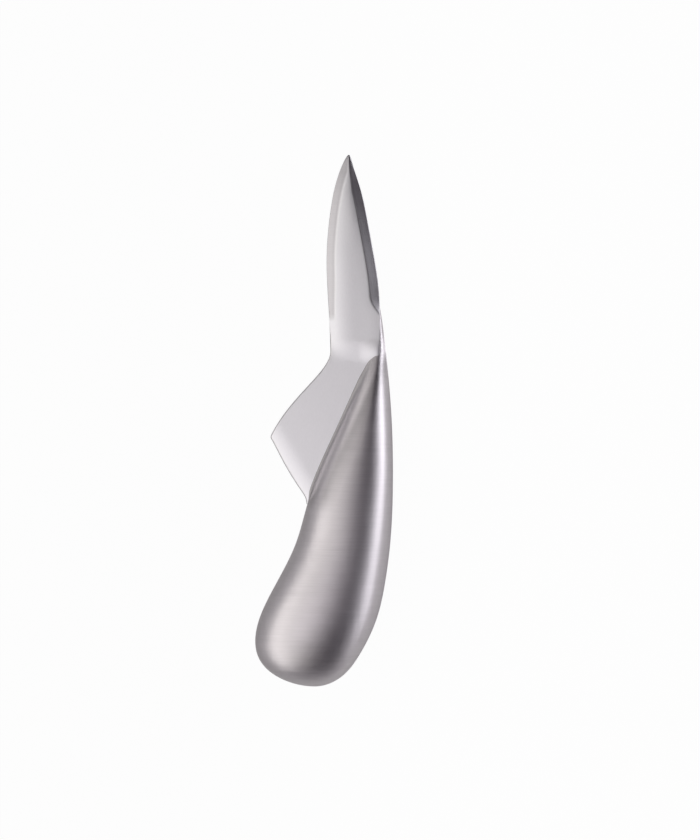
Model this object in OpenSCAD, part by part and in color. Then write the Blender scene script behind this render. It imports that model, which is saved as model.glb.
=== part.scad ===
// Oyster knife: one forged plate is blade, guard wing and tang, and two pressed half shells,
// welded to each other and to the plate, make its hollow handle.
// The knife lies flat: +Y runs to the tip, +X is the spine side, +Z is the thickness.

/* [Blade] */
// Length of the blade, from the neck to the tip
blade_len = 60.5; // [46:0.5:78]
// Width of the blade at the neck
blade_w = 15.3; // [12.5:0.1:18.5]
// Thickness of the forged plate
plate_t = 2.6; // [2.1:0.1:3.2]
// How far the middle of each blade face stands proud of the plate
crown = 0.35; // [0.1:0.05:0.6]
// Width of the bevel on the opening edge
edge_bevel_w = 2.3; // [1.5:0.1:3]
// Width of the bevel along the spine
spine_bevel_w = 2.8; // [1.5:0.1:3.4]
// Thickness left at the opening edge
edge_t = 0.5; // [0.3:0.05:0.8]
// Thickness left along the spine
spine_t = 0.9; // [0.6:0.05:1.4]

/* [Guard and tang] */
// How far the guard's corner stands out from the opening edge
guard_out = 18.7; // [15.5:0.1:22.5]
// How far the guard's corner lies below the neck
guard_drop = 27; // [22:0.5:32]
// Radius of the guard's corner
guard_r = 1.3; // [0.8:0.1:2]
// Length of the tang, below the neck
tang_len = 74; // [66:1:88]
// Width of the tang inside the handle
tang_w = 9; // [7:0.5:11]

/* [Handle] */
// Length of the handle, from its nose to its butt
handle_len = 117.3; // [97:0.1:141]
// Width of the handle's outline, from its farthest left to its farthest right
handle_w = 42.7; // [35:0.1:52]
// Greatest thickness of the handle
handle_t = 22.6; // [18.8:0.1:27.2]
// Wall of the pressed half shells
shell_wall = 1.2; // [0.9:0.05:1.5]

/* [Joints] */
// Clearance between the plate and the shells that clamp it
plate_gap = 0.05; // [0.02:0.01:0.1]
// Width of the weld that closes the two shells, on the surface
seam_w = 1; // [0.8:0.1:1.4]
// Depth of that weld
seam_depth = 0.6; // [0.45:0.05:0.75]
// Leg of the fillet weld between the plate and each shell
fillet_leg = 0.9; // [0.6:0.05:1.3]

/* [Balance] */
// Clearance of the sand filling to the shells and the tang
sand_gap = 0.2; // [0.1:0.05:0.4]
// Distance of the filling hole from the handle's butt
plug_rise = 16.3; // [13:0.1:24]
// Diameter of the plug in the filling hole
plug_d = 5; // [4:0.5:6]
// Radial clearance of the plug in its hole
plug_gap = 0.03; // [0.01:0.01:0.08]

/* [Hidden] */

// The points below are in millimetres at the standard size, from the plate's spine-side corner at
// the neck. Each row is [along, edge side, spine side, half thickness] of one cross-section, and
// a smooth curve through the rows is stretched to the sizes above.
BLADE_SHAPE = [
    [0.0, -15.30, 0.00, 1.30],
    [10.0, -15.65, 0.10, 1.30],
    [20.0, -16.40, -0.40, 1.30],
    [30.0, -16.75, -2.15, 1.25],
    [40.0, -15.85, -4.00, 1.15],
    [49.0, -14.50, -5.70, 1.00],
    [56.0, -12.40, -8.20, 0.80],
    [60.0, -10.40, -9.00, 0.40],
    [60.8, -9.60, -9.60, 0.00],
];
HANDLE_SHAPE = [
    [13.0, 0.10, 0.10, 0.0],
    [6.5, -1.20, 1.10, 0.6],
    [-0.5, -3.00, 1.90, 0.9],
    [-6.0, -4.80, 2.50, 2.7],
    [-13.0, -7.90, 3.15, 4.0],
    [-24.0, -12.70, 3.90, 6.0],
    [-36.0, -18.40, 4.15, 7.9],
    [-48.0, -23.20, 3.85, 9.4],
    [-60.0, -25.50, 3.20, 10.5],
    [-72.0, -32.10, 1.80, 11.3],
    [-84.0, -38.70, -0.60, 11.3],
    [-95.0, -39.50, -6.30, 9.6],
    [-102.0, -32.60, -11.50, 5.6],
    [-105.5, -20.30, -20.30, 0.0],
];
nose_y = HANDLE_SHAPE[0][0];
// How finely the curves are cut: cross-sections in each span of a body, points round the handle,
// points in a span where a line is only measured, and pieces of the guard's curves
STEPS = 3;
SIDES = 32;
LINE_STEPS = 8;
WELD_STEPS = 6;
EDGE_PIECES = 20;
CORNER_PIECES = 6;
ROUND_FN = 48;

// Curves

// One span of a uniform cubic B-spline, where t runs from 0 to 1
function span(p, i, t) =
    (pow(1 - t, 3) * p[i] + (3 * pow(t, 3) - 6 * t * t + 4) * p[i + 1]
    + (-3 * pow(t, 3) + 3 * t * t + 3 * t + 1) * p[i + 2] + pow(t, 3) * p[i + 3]) / 6;
// A row [along, edge side, spine side, half thickness] as [along, centre, half width, half thickness]
function centred(r) = [r[0], (r[1] + r[2]) / 2, (r[2] - r[1]) / 2, r[3]];
// The control rows with one more at each end. The curve starts in the first row. At the last,
// width and thickness pass through zero and change sign, so the body closes round there.
function closed_round(rows) =
    let (p = [for (r = rows) centred(r)], n = len(p) - 1, q = p[n - 1])
    concat([2 * p[0] - p[1]], p, [[q[0], 2 * p[n][1] - q[1], -q[2], -q[3]]]);
function at(q, s) =
    let (i = min(floor(s), len(q) - 4))
    span(q, i, s - i);
function sampled(q, steps) = [for (k = [0 : steps * (len(q) - 3)]) at(q, k / steps)];
function unit(v) = v / norm(v);
function fade(x, from, to) =
    let (t = min(max((x - from) / (to - from), 0), 1))
    t * t * (3 - 2 * t);
function bezier(p, n) =
    [for (k = [0 : n]) let (t = k / n)
        pow(1 - t, 3) * p[0] + 3 * t * pow(1 - t, 2) * p[1] + 3 * t * t * (1 - t) * p[2] + pow(t, 3) * p[3]];
// An arc that rounds corner b of the path a, b, c
function round_corner(a, b, c, r, n) =
    let (
        u = unit(a - b),
        v = unit(c - b),
        half = acos(u * v) / 2,
        middle = b + unit(u + v) * r / sin(half),
        start = b + u * r / tan(half) - middle,
        end = b + v * r / tan(half) - middle)
    [for (k = [0 : n]) middle + r * unit(start * (1 - k / n) + end * k / n)];

// A closed body of rings, with a point before the first ring and one after the last
module ring_body(first, rings, last) {
    n = len(rings[0]);
    m = len(rings);
    end = 1 + m * n;
    polyhedron(
        points = concat([first], [for (r = rings) each r], [last]),
        faces = concat(
            [for (j = [0 : n - 1]) [0, 1 + j, 1 + (j + 1) % n]],
            [for (i = [0 : m - 2], j = [0 : n - 1])
                let (a = 1 + i * n + j, b = 1 + i * n + (j + 1) % n)
                each [[a, a + n, b], [b, a + n, b + n]]],
            [for (j = [0 : n - 1]) [end, end - n + (j + 1) % n, end - n + j]]));
}

// The handle's form

SHAPE = sampled(closed_round(HANDLE_SHAPE), LINE_STEPS);
shape_len = SHAPE[0][0] - SHAPE[len(SHAPE) - 1][0];
shape_w = max([for (r = SHAPE) r[1] + r[2]]) - min([for (r = SHAPE) r[1] - r[2]]);
shape_t = 2 * max([for (r = SHAPE) r[3]]);
handle_q = closed_round([for (r = HANDLE_SHAPE) [
    nose_y + (r[0] - nose_y) * handle_len / shape_len,
    r[1] * handle_w / shape_w,
    r[2] * handle_w / shape_w,
    r[3] * handle_t / shape_t]]);
handle_spans = len(handle_q) - 3;
handle_line = sampled(handle_q, LINE_STEPS);
function handle_centre(y) = lookup(y, [for (r = handle_line) [r[0], r[1]]]);

// A point of the surface, s spans from the nose, at an angle round the cross-section
function surface_at(s, angle) =
    let (r = at(handle_q, s))
    [r[1] + r[2] * cos(angle), r[0], r[3] * sin(angle)];
// The same point moved inwards, square to the surface. The normal comes from a short step each way
// along the handle and round it.
ds = 0.01;
da = 1;
function inset_at(s, angle, depth) =
    let (
        along = surface_at(s + ds, angle) - surface_at(s - ds, angle),
        round = surface_at(s, angle + da) - surface_at(s, angle - da))
    surface_at(s, angle) - depth * unit(cross(round, along));
function inset_end(depth) = surface_at(handle_spans, 0) + [0, depth, 0];

angles = [for (j = [0 : SIDES - 1]) 360 * j / SIDES];
module handle_form() {
    ring_body(
        surface_at(0, 0),
        [for (k = [1 : handle_spans * STEPS - 1]) [for (a = angles) surface_at(k / STEPS, a)]],
        surface_at(handle_spans, 0));
}
// The handle's form made smaller all over by a depth, from a span where it is thick enough
module handle_inside(depth, from) {
    ring_body(
        [at(handle_q, from)[1], at(handle_q, from)[0], 0],
        [for (k = [from * STEPS : handle_spans * STEPS - 1])
            [for (a = angles) inset_at(k / STEPS, a, depth)]],
        inset_end(depth));
}

// The forged plate

neck_l = [-blade_w, 0];
guard_corner = [-blade_w - guard_out, -guard_drop];
// Where the guard's lower edge runs into the tang, hidden in the handle
guard_foot_y = -58;
tang_end_y = -tang_len + tang_w / 2;
function tang_side(y, side) = [handle_centre(y) + side * tang_w / 2, y];
guard_foot = tang_side(guard_foot_y, -1);
// Handles of the guard's upper edge, an S-curve from the neck to the corner
guard_h1 = neck_l + [-0.03 * guard_out, -0.24 * guard_drop];
guard_h2 = guard_corner + [0.32 * guard_out, 0.5 * guard_drop];
corner_arc = round_corner(guard_h2, guard_corner, guard_foot, guard_r, CORNER_PIECES);
// The tang's sides follow the handle's centre line in short lines, and its end is half round
tang_pitch = 4;
tang_top_y = -30;
plate_outline = concat(
    [[0, 0]],
    bezier([neck_l, guard_h1, guard_h2, corner_arc[0]], EDGE_PIECES),
    corner_arc,
    [for (y = [guard_foot_y : -tang_pitch : tang_end_y + tang_pitch / 2]) tang_side(y, -1)],
    [for (a = [180 : 20 : 360])
        [handle_centre(tang_end_y) + tang_w / 2 * cos(a), tang_end_y + tang_w / 2 * sin(a)]],
    [for (y = [tang_end_y + tang_pitch : tang_pitch : tang_top_y]) tang_side(y, 1)]);

// The blade's cross-sections, from the neck to the tip
blade_shape_end = sampled(closed_round(BLADE_SHAPE), 1)[len(BLADE_SHAPE) - 1][0];
blade_q = closed_round([for (r = BLADE_SHAPE) [
    r[0] * blade_len / blade_shape_end,
    r[1] * blade_w / -BLADE_SHAPE[0][1],
    r[2],
    r[3] * plate_t / 2 / BLADE_SHAPE[0][3]]]);
blade_spans = len(blade_q) - 3;
// The face swells from the flat neck, and each bevel starts a little above it
swell_len = 6;
edge_bevel_y = 9.6;
edge_bevel_run = 1.2;
spine_bevel_y = 10.9;
spine_bevel_run = 6;
// Near the tip the blade is thin and narrow. There each edge keeps no more than a share of the
// thickness, and the spine's bevel no more than a share of the half width.
edge_share = 0.6;
spine_share = 0.7;
bevel_share = 0.65;
// Width of the spine's bevel where it starts, as a share of its full width
bevel_start = 0.1;
function blade_ring(r) =
    let (
        y = r[0],
        left = r[1] - r[2],
        right = r[1] + r[2],
        h = r[3],
        rise = crown * fade(y, 0, swell_len) * h / (plate_t / 2),
        edge_k = fade(y, edge_bevel_y, edge_bevel_y + edge_bevel_run),
        spine_k = sin(90 * min(max((y - spine_bevel_y) / spine_bevel_run, 0), 1)),
        edge_in = left + min(edge_bevel_w, r[2]),
        spine_in = right - min(spine_bevel_w * max(spine_k, bevel_start), bevel_share * r[2]),
        edge_h = h + (min(edge_t / 2, edge_share * h) - h) * edge_k,
        spine_h = h + (min(spine_t / 2, spine_share * h) - h) * spine_k,
        face = [for (t = [0 : 0.25 : 1])
            [edge_in + (spine_in - edge_in) * t, y, h + rise * 4 * t * (1 - t)]],
        top = concat([[left, y, edge_h]], face, [[right, y, spine_h]]))
    concat(top, [for (i = [len(top) - 1 : -1 : 0]) [top[i][0], y, -top[i][2]]]);
module blade_form() {
    rows = sampled(blade_q, LINE_STEPS);
    n = len(rows) - 1;
    ring_body([rows[0][1], 0, 0], [for (i = [0 : n - 1]) blade_ring(rows[i])], [rows[n][1], rows[n][0], 0]);
}

// What is cut from the shells and the filling to let the plate through
module plate_space(gap) {
    height = plate_t + 2 * gap;
    translate([0, 0, -height / 2])
    linear_extrude(height)
    union() {
        offset(delta = gap)
        polygon(plate_outline);
        translate([-blade_w, -1])
        square([blade_w + gap, nose_y + 1]);
    }
}

// The welds

// The closing weld starts where the handle is thick enough, and runs round the butt
seam_from = 3;
hollow_from = 4;
big = 300;
module seam_band() {
    translate([-big / 2, at(handle_q, seam_from)[0] - big - 1, -seam_w / 2])
    cube([big, big, seam_w]);
}
// The band of the shells' rims that the closing weld takes up
module seam_groove() {
    difference() {
        seam_band();
        handle_inside(seam_depth, seam_from);
    }
}

// A fillet weld on the front face of the plate, along the line where the shell's surface meets it.
// It starts where the shell has risen above the plate, where it is smaller, and stops at the
// guard's lower edge. Its face is hollow.
plate_h = plate_t / 2;
fillet_from = 3;
fillet_rise = 0.2;
fillet_share = 0.45;
fillet_hollow = 0.35;
function fillet_ring(r) =
    let (
        leg = min(fillet_leg, fillet_share * (r[3] - plate_h)),
        foot = r[1] - r[2] * sqrt(1 - pow(plate_h / r[3], 2)) - plate_gap,
        top = r[1] - r[2] * sqrt(1 - pow((plate_h + leg) / r[3], 2)) - plate_gap)
    [[foot, r[0], plate_h], [top, r[0], plate_h + leg],
        [foot - fillet_hollow * leg, r[0], plate_h + fillet_hollow * leg], [foot - leg, r[0], plate_h]];
function above_guard_edge(r) =
    let (t = (r[0] - guard_corner[1]) / (guard_foot[1] - guard_corner[1]))
    fillet_ring(r)[3][0] > guard_corner[0] + (guard_foot[0] - guard_corner[0]) * t;
module guard_weld() {
    rows = [for (k = [fillet_from * WELD_STEPS : handle_spans * WELD_STEPS])
        let (r = at(handle_q, k / WELD_STEPS))
        if (above_guard_edge(r) || r[0] > guard_corner[1]) r];
    rings = [for (r = rows) if (r[3] > plate_h + fillet_rise && r[0] > guard_foot_y) fillet_ring(r)];
    m = len(rings) - 1;
    ring_body((rings[0][0] + rings[0][2]) / 2, rings, (rings[m][0] + rings[m][2]) / 2);
}

// The sub-parts, each moved so that the knife's box stands centred on the origin

left_x = min([for (r = handle_line) r[1] - r[2]]);
right_x = max([for (r = handle_line) r[1] + r[2]]);
middle = [(left_x + right_x) / 2, (blade_len + nose_y - handle_len) / 2, -handle_t / 2];
module placed() {
    translate(-middle)
    children();
}

module blade() {
    color("gainsboro")
    placed()
    union() {
        blade_form();
        translate([0, 0, -plate_h])
        linear_extrude(plate_t)
        polygon(plate_outline);
    }
}

plug_y = nose_y - handle_len + plug_rise;
module plug_column(d) {
    translate([handle_centre(plug_y), plug_y, -handle_t])
    cylinder(h = handle_t, d = d, $fn = ROUND_FN);
}
module half_shell() {
    difference() {
        intersection() {
            handle_form();
            translate([-big / 2, -big / 2, 0])
            cube([big, big, big]);
        }
        handle_inside(shell_wall, hollow_from);
        plate_space(plate_gap);
        seam_groove();
    }
}
module handle_shell_front() {
    color("silver")
    placed()
    half_shell();
}
module handle_shell_back() {
    color("darkgray")
    placed()
    difference() {
        mirror([0, 0, 1])
        half_shell();
        plug_column(plug_d + 2 * plug_gap);
    }
}
module seam_weld() {
    color("whitesmoke")
    placed()
    difference() {
        intersection() {
            handle_form();
            seam_band();
        }
        handle_inside(seam_depth, seam_from);
        plate_space(plate_gap);
    }
}
module guard_weld_front() {
    color("whitesmoke")
    placed()
    guard_weld();
}
module guard_weld_back() {
    color("whitesmoke")
    placed()
    mirror([0, 0, 1])
    guard_weld();
}
module sand_filling() {
    color("tan")
    placed()
    difference() {
        handle_inside(shell_wall + sand_gap, hollow_from + 1);
        plate_space(sand_gap);
    }
}
module filling_plug() {
    color("silver")
    placed()
    difference() {
        intersection() {
            handle_form();
            plug_column(plug_d);
        }
        handle_inside(shell_wall, hollow_from);
    }
}

blade();
handle_shell_front();
handle_shell_back();
seam_weld();
guard_weld_front();
guard_weld_back();
sand_filling();
filling_plug();
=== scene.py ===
# %% [markdown]
# # An all-steel oyster knife
#
# The real knife starts as one forged plate: a short pointed blade, a flat guard wing beside it and
# a tang behind it. Two pressed half shells close round the tang and are welded together, and that
# hollow bulb is the handle. This lesson loads the solid parts, which already have their real size,
# and gives each of them a finer surface and a brushed finish.

# %% Load the solid parts
import math

import bmesh
import bpy
import numpy as np
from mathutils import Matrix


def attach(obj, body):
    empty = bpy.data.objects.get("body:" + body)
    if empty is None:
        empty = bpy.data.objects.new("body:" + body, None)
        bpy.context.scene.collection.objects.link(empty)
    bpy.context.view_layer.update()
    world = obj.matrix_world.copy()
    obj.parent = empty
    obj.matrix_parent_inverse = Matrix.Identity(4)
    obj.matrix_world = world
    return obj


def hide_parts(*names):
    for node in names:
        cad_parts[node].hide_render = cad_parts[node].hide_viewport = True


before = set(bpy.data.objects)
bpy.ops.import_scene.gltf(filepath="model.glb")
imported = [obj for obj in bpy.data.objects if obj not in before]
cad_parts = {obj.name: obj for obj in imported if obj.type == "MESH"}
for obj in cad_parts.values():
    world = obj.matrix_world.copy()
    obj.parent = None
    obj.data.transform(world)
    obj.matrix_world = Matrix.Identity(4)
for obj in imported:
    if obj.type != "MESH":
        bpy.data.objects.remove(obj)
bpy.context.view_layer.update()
print("solid parts:", sorted(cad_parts))

# %% [markdown]
# ## The sizes
#
# These are the sizes that drive the knife, in millimetres. They are measured in the plate's own
# place: x runs from the opening edge to the spine, y from the neck to the tip, and z is up from the
# middle of the plate's thickness. W stands for a width, T for a thickness, H for half of one, and D
# for a diameter. EDGE_T and SPINE_T are what the grinder leaves of the thickness at the outline.

# %% Sizes of the knife
BLADE_LEN, BLADE_W, PLATE_T = 60.5, 15.3, 2.6
EDGE_BEVEL_W, SPINE_BEVEL_W, EDGE_T, SPINE_T = 2.3, 2.8, 0.5, 0.9
GUARD_OUT, GUARD_DROP, GUARD_R = 18.7, 27.0, 1.3
TANG_LEN, TANG_W = 74.0, 9.0
HANDLE_LEN, HANDLE_W, HANDLE_T, SHELL_WALL = 117.3, 42.7, 22.6, 1.2
PLATE_GAP, SEAM_W, SEAM_DEPTH, FILLET_LEG = 0.05, 1.0, 0.6, 0.9
PLUG_RISE, PLUG_D, PLUG_GAP = 16.3, 5.0, 0.03
PLATE_H = PLATE_T / 2
print("blade", BLADE_LEN, "x", BLADE_W, "mm, handle", HANDLE_LEN, "x", HANDLE_W, "x", HANDLE_T, "mm")

# %% [markdown]
# ## Two forms, each drawn with a few cross-sections
#
# A smith would hold a few templates against the work: how wide and how thick it is at each station.
# Each row below is such a template: [along, edge side, spine side, half thickness]. A smooth curve
# through the rows gives every cross-section between them, so few numbers make a fair surface. From
# here on y, c, a and h stand for a cut's place along, centre, half width and half thickness.

# %% The templates of the blade and the handle
BLADE_SHAPE = [
    [0, -15.30, 0, 1.30],
    [10, -15.65, 0.10, 1.30],
    [20, -16.35, -0.20, 1.30],
    [30, -16.65, -1.95, 1.25],
    [40, -15.80, -3.80, 1.15],
    [49, -14.50, -5.50, 1.00],
    [56, -12.40, -8.00, 0.80],
    [60, -10.40, -9.00, 0.40],
    [60.8, -9.60, -9.60, 0],
]
HANDLE_SHAPE = [
    [13, 0.10, 0.10, 0],
    [6.5, -1.50, 1.15, 1.15],
    [-0.5, -3.00, 1.90, 1.15],
    [-6, -4.80, 2.50, 2.7],
    [-13, -7.90, 3.15, 4.0],
    [-24, -12.70, 3.90, 6.0],
    [-36, -18.40, 4.15, 7.9],
    [-48, -23.00, 4.05, 9.4],
    [-60, -25.55, 3.40, 10.5],
    [-72, -32.10, 1.80, 11.3],
    [-84, -38.70, -0.60, 11.3],
    [-95, -39.50, -6.30, 9.6],
    [-102, -32.60, -11.50, 5.6],
    [-105.5, -20.30, -20.30, 0],
]
BLADE_SPANS, HANDLE_SPANS = len(BLADE_SHAPE) - 1, len(HANDLE_SHAPE) - 1
print("spans between templates: blade", BLADE_SPANS, "and handle", HANDLE_SPANS)


# %% The smooth curve through the templates
def closed_round(rows):
    """Rows as [along, centre, half width, half thickness], with one more at each end. The first is a
    reflection, so the curve starts in the first template. At the last, width and thickness change
    sign, so they pass through zero there and the body closes round."""
    along, edge_side, spine_side, thick = np.array(rows, float).T
    q = np.column_stack([along, (edge_side + spine_side) / 2, (spine_side - edge_side) / 2, thick])
    after = [q[-2, 0], 2 * q[-1, 1] - q[-2, 1], -q[-2, 2], -q[-2, 3]]
    return np.vstack([2 * q[0] - q[1], q, after])


def spline(q, s):
    """A uniform cubic B-spline at s spans: the four nearest rows, weighted with (1-t)^3,
    3t^3-6t^2+4, -3t^3+3t^2+3t+1 and t^3, all over 6, where t is the part of the span passed."""
    s = np.asarray(s, float)
    i = np.clip(np.floor(s).astype(int), 0, len(q) - 4)
    t = s - i
    weights = [(1 - t) ** 3, 3 * t**3 - 6 * t**2 + 4, -3 * t**3 + 3 * t**2 + 3 * t + 1, t**3]
    return (np.stack(weights, -1)[..., None] / 6 * q[i[..., None] + np.arange(4)]).sum(-2)


TINY = 1e-12  # keeps a division by a size that may be 0 safe


def fade(x, start, end):
    """0 before start, 1 after end, and 3t^2-2t^3 between them."""
    t = np.clip((x - start) / (end - start), 0, 1)
    return t * t * (3 - 2 * t)


# %% [markdown]
# The templates are drawn one by one, so the curve through them misses the driving sizes by a little.
# Each form is measured once and stretched to them. From then on the knife has its exact length,
# width and thickness, and a changed size moves the whole form.

# %% Stretch both forms to the driving sizes
ROUGH_N, DENSE_N = 105, 8001
NOSE_Y = HANDLE_SHAPE[0][0]
rough = spline(closed_round(HANDLE_SHAPE), np.linspace(0, HANDLE_SPANS, ROUGH_N))
rough_y, rough_c, rough_a, rough_h = rough.T
wider = HANDLE_W / ((rough_c + rough_a).max() - (rough_c - rough_a).min())
longer, thicker = HANDLE_LEN / (rough_y[0] - rough_y[-1]), HANDLE_T / (2 * rough_h.max())
nose = np.array([NOSE_Y, 0, 0, 0])
HANDLE = closed_round(nose + (np.array(HANDLE_SHAPE) - nose) * [longer, wider, wider, thicker])

blade_end = spline(closed_round(BLADE_SHAPE), BLADE_SPANS)[0]
_, first_left, _, first_h = BLADE_SHAPE[0]
blade_stretch = [BLADE_LEN / blade_end, BLADE_W / -first_left, 1, PLATE_H / first_h]
BLADE = closed_round(np.array(BLADE_SHAPE) * blade_stretch)

dense = np.linspace(0, HANDLE_SPANS, DENSE_N)
line_y, line_c, line_a, line_h = spline(HANDLE, dense).T
handle_left, handle_right = (line_c - line_a).min(), (line_c + line_a).max()
middle_y = (BLADE_LEN + NOSE_Y - HANDLE_LEN) / 2
MIDDLE = np.array([(handle_left + handle_right) / 2, middle_y, -HANDLE_T / 2])
print("handle from", handle_left.round(2), "to", handle_right.round(2), "middle", MIDDLE.round(3))

# %% [markdown]
# ## From a grid of points to a closed mesh
#
# Every new piece here is a stack of rings. NumPy works out all points of all rings at once, and the
# faces join each ring to the next. A point at each end closes the stack. Points that fall together,
# as at the blade's tip, are then merged, so no open seam is left, and the faces are turned outwards.

# %% Make a piece from rings
MERGE_M, CREASE_DEG = 2e-7, 35


def stack_faces(rows, columns):
    """The corner numbers of the four-sided faces between rings of one size."""
    low = np.arange(rows * columns).reshape(rows, columns)
    nxt = np.roll(low, -1, 1)
    return np.stack([low[:-1], low[1:], nxt[1:], nxt[:-1]], -1).reshape(-1, 4)


def make_piece(name, stacks, node, marks=None, leave_out=()):
    """A mesh object from one or more stacks of rings, each (ring, point, xyz) in millimetres, which
    stands for a solid part. marks holds a number for each point, which a material may read, and
    leave_out the numbers of the faces that aren't made, where another stack opens the first."""
    points = np.concatenate([r.reshape(-1, 3) for r in stacks])
    starts = np.cumsum([0] + [r.shape[0] * r.shape[1] for r in stacks])
    faces = np.concatenate([stack_faces(*r.shape[:2]) + k for r, k in zip(stacks, starts)])
    faces = np.delete(faces, np.array(leave_out, int), axis=0)
    mesh = bpy.data.meshes.new(name)
    mesh.from_pydata((points - MIDDLE) / 1000, [], faces.tolist())
    for key, values in (marks or {}).items():
        mark = mesh.attributes.new(key, "FLOAT", "POINT")
        mark.data.foreach_set("value", values.ravel().astype(np.float32))
    shape = bmesh.new()
    shape.from_mesh(mesh)
    bmesh.ops.remove_doubles(shape, verts=shape.verts, dist=MERGE_M)
    bmesh.ops.recalc_face_normals(shape, faces=shape.faces)
    open_edges = sum(not e.is_manifold for e in shape.edges)
    volume = shape.calc_volume() * 1e9
    shape.to_mesh(mesh)
    shape.free()
    mesh.shade_smooth()
    mesh.set_sharp_from_angle(angle=math.radians(CREASE_DEG))
    piece = bpy.data.objects.new(name, mesh)
    bpy.context.scene.collection.objects.link(piece)
    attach(piece, "root")
    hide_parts(node)
    print(f"{name}: {len(mesh.polygons)} faces, {open_edges} open edges, {volume:.1f} mm3")
    return piece


def with_ends(rings):
    """The rings with a point before the first and after the last, each the middle of its ring."""
    ends = [np.broadcast_to(r.mean(0), r.shape)[None] for r in (rings[0], rings[-1])]
    return np.concatenate([ends[0], rings, ends[1]])


# %% [markdown]
# ## The forged plate
#
# Blade, guard wing and tang are one piece of steel, so they are one mesh. Each ring is one cut
# across the plate. First come the two edges of the outline: the blade's follow its templates, the
# wing's upper edge is an S-curve, and its lower edge runs straight into the handle.


# %% Curves for an outline
def bezier(p, t):
    """A cubic Bezier curve: four points weighted with (1-t)^3, 3t(1-t)^2, 3t^2(1-t) and t^3."""
    t = t[:, None]
    weights = [(1 - t) ** 3, 3 * t * (1 - t) ** 2, 3 * t * t * (1 - t), t**3]
    return sum(weight * point for weight, point in zip(weights, p))


def round_corner(a, b, c, radius, n):
    """An arc that rounds corner b of the path a, b, c and touches both sides. Its centre lies
    radius / sin(half the corner's angle) from b, on the line that halves the angle."""
    u, v = (a - b) / np.linalg.norm(a - b), (c - b) / np.linalg.norm(c - b)
    half = math.acos(u @ v) / 2
    centre = b + (u + v) / np.linalg.norm(u + v) * radius / math.sin(half)
    first, last = (b + side * radius / math.tan(half) - centre for side in (u, v))
    t = np.linspace(0, 1, n)[:, None]
    spoke = first * (1 - t) + last * t
    return centre + radius * spoke / np.linalg.norm(spoke, axis=1, keepdims=True)


def handle_centre(y):
    """The x of the handle's middle line at y."""
    return np.interp(y, line_y[::-1], line_c[::-1])


# %% The wing's upper edge, its corner and the tang
GUARD_FOOT_Y, TANG_TOP_Y, TANG_END_Y = -58.0, -30.0, -TANG_LEN + TANG_W / 2
# How far the S-curve is pulled away from its two ends, as shares of the wing's size.
NECK_PULL, CORNER_PULL = np.array([0.02, -0.24]), np.array([0.36, 0.5])
UPPER_N, CORNER_N, TANG_N, TANG_ROUND_N = 1001, 161, 12, 25
guard_size = np.array([GUARD_OUT, GUARD_DROP])
neck_left = np.array([-BLADE_W, 0])
guard_corner = np.array([-BLADE_W - GUARD_OUT, -GUARD_DROP])
guard_foot = np.array([handle_centre(GUARD_FOOT_Y) - TANG_W / 2, GUARD_FOOT_Y])
from_neck = neck_left + NECK_PULL * guard_size
to_corner = guard_corner + CORNER_PULL * guard_size
corner_arc = round_corner(to_corner, guard_corner, guard_foot, GUARD_R, CORNER_N)
upper_edge = bezier([neck_left, from_neck, to_corner, corner_arc[0]], np.linspace(0, 1, UPPER_N))
tang_y = np.linspace(GUARD_FOOT_Y, TANG_END_Y, TANG_N)
tang_left = np.column_stack([handle_centre(tang_y) - TANG_W / 2, tang_y])
tang_turn = np.radians(np.linspace(180, 270, TANG_ROUND_N))
tang_middle = np.array([handle_centre(TANG_END_Y), TANG_END_Y])
tang_round = tang_middle + TANG_W / 2 * np.column_stack([np.cos(tang_turn), np.sin(tang_turn)])
print("guard corner", guard_corner.round(2), "rounded over", corner_arc[[0, -1]].round(2).tolist())

# %% [markdown]
# The wing's lower edge bulges a little, as a belt grinder leaves it. Where it reaches the handle it
# follows the handle's own edge for a while, and only then goes on inside. The two lines are blended
# with a smooth minimum: min(d, 0) - (1 - |d| / w)^2 * w / 4, where d is the distance between them.

# %% The wing's lower edge and the whole left line
LOWER_N, LOWER_BULGE, BULGE_SHARE, BULGE_POWER = 1601, 0.6, 0.68, 1.5
GUARD_BLEND, GUARD_HUG, GUARD_HUG_Y, GUARD_HUG_RUN = 2.4, 12.0, -47.5, 5.0
lower_edge = np.linspace(corner_arc[-1], guard_foot, LOWER_N)
bulge_t = np.clip(np.linspace(0, 1 / BULGE_SHARE, LOWER_N), 0, 1)
lower_edge[:, 0] -= LOWER_BULGE * np.sin(np.pi * bulge_t) ** BULGE_POWER
handle_edge = np.interp(lower_edge[:, 1], line_y[::-1], (line_c - line_a)[::-1])
inside = GUARD_HUG * fade(lower_edge[:, 1], GUARD_HUG_Y, GUARD_HUG_Y - GUARD_HUG_RUN)
apart = handle_edge - lower_edge[:, 0] + inside
near = np.clip(1 - np.abs(apart) / GUARD_BLEND, 0, 1) ** 2 * GUARD_BLEND / 4
lower_edge[:, 0] += np.minimum(apart, 0) - near
left_parts = [upper_edge, corner_arc[1:], lower_edge[1:], tang_left[1:], tang_round[1:]]
LEFT_LINE = np.vstack(left_parts)[::-1]
print("guard wing reaches x", LEFT_LINE[:, 0].min().round(2), "and the tang y", LEFT_LINE[0, 1])


def plate_left(y):
    """The x of the plate's edge side at y, below the neck."""
    return np.interp(y, LEFT_LINE[:, 1], LEFT_LINE[:, 0])


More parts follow.
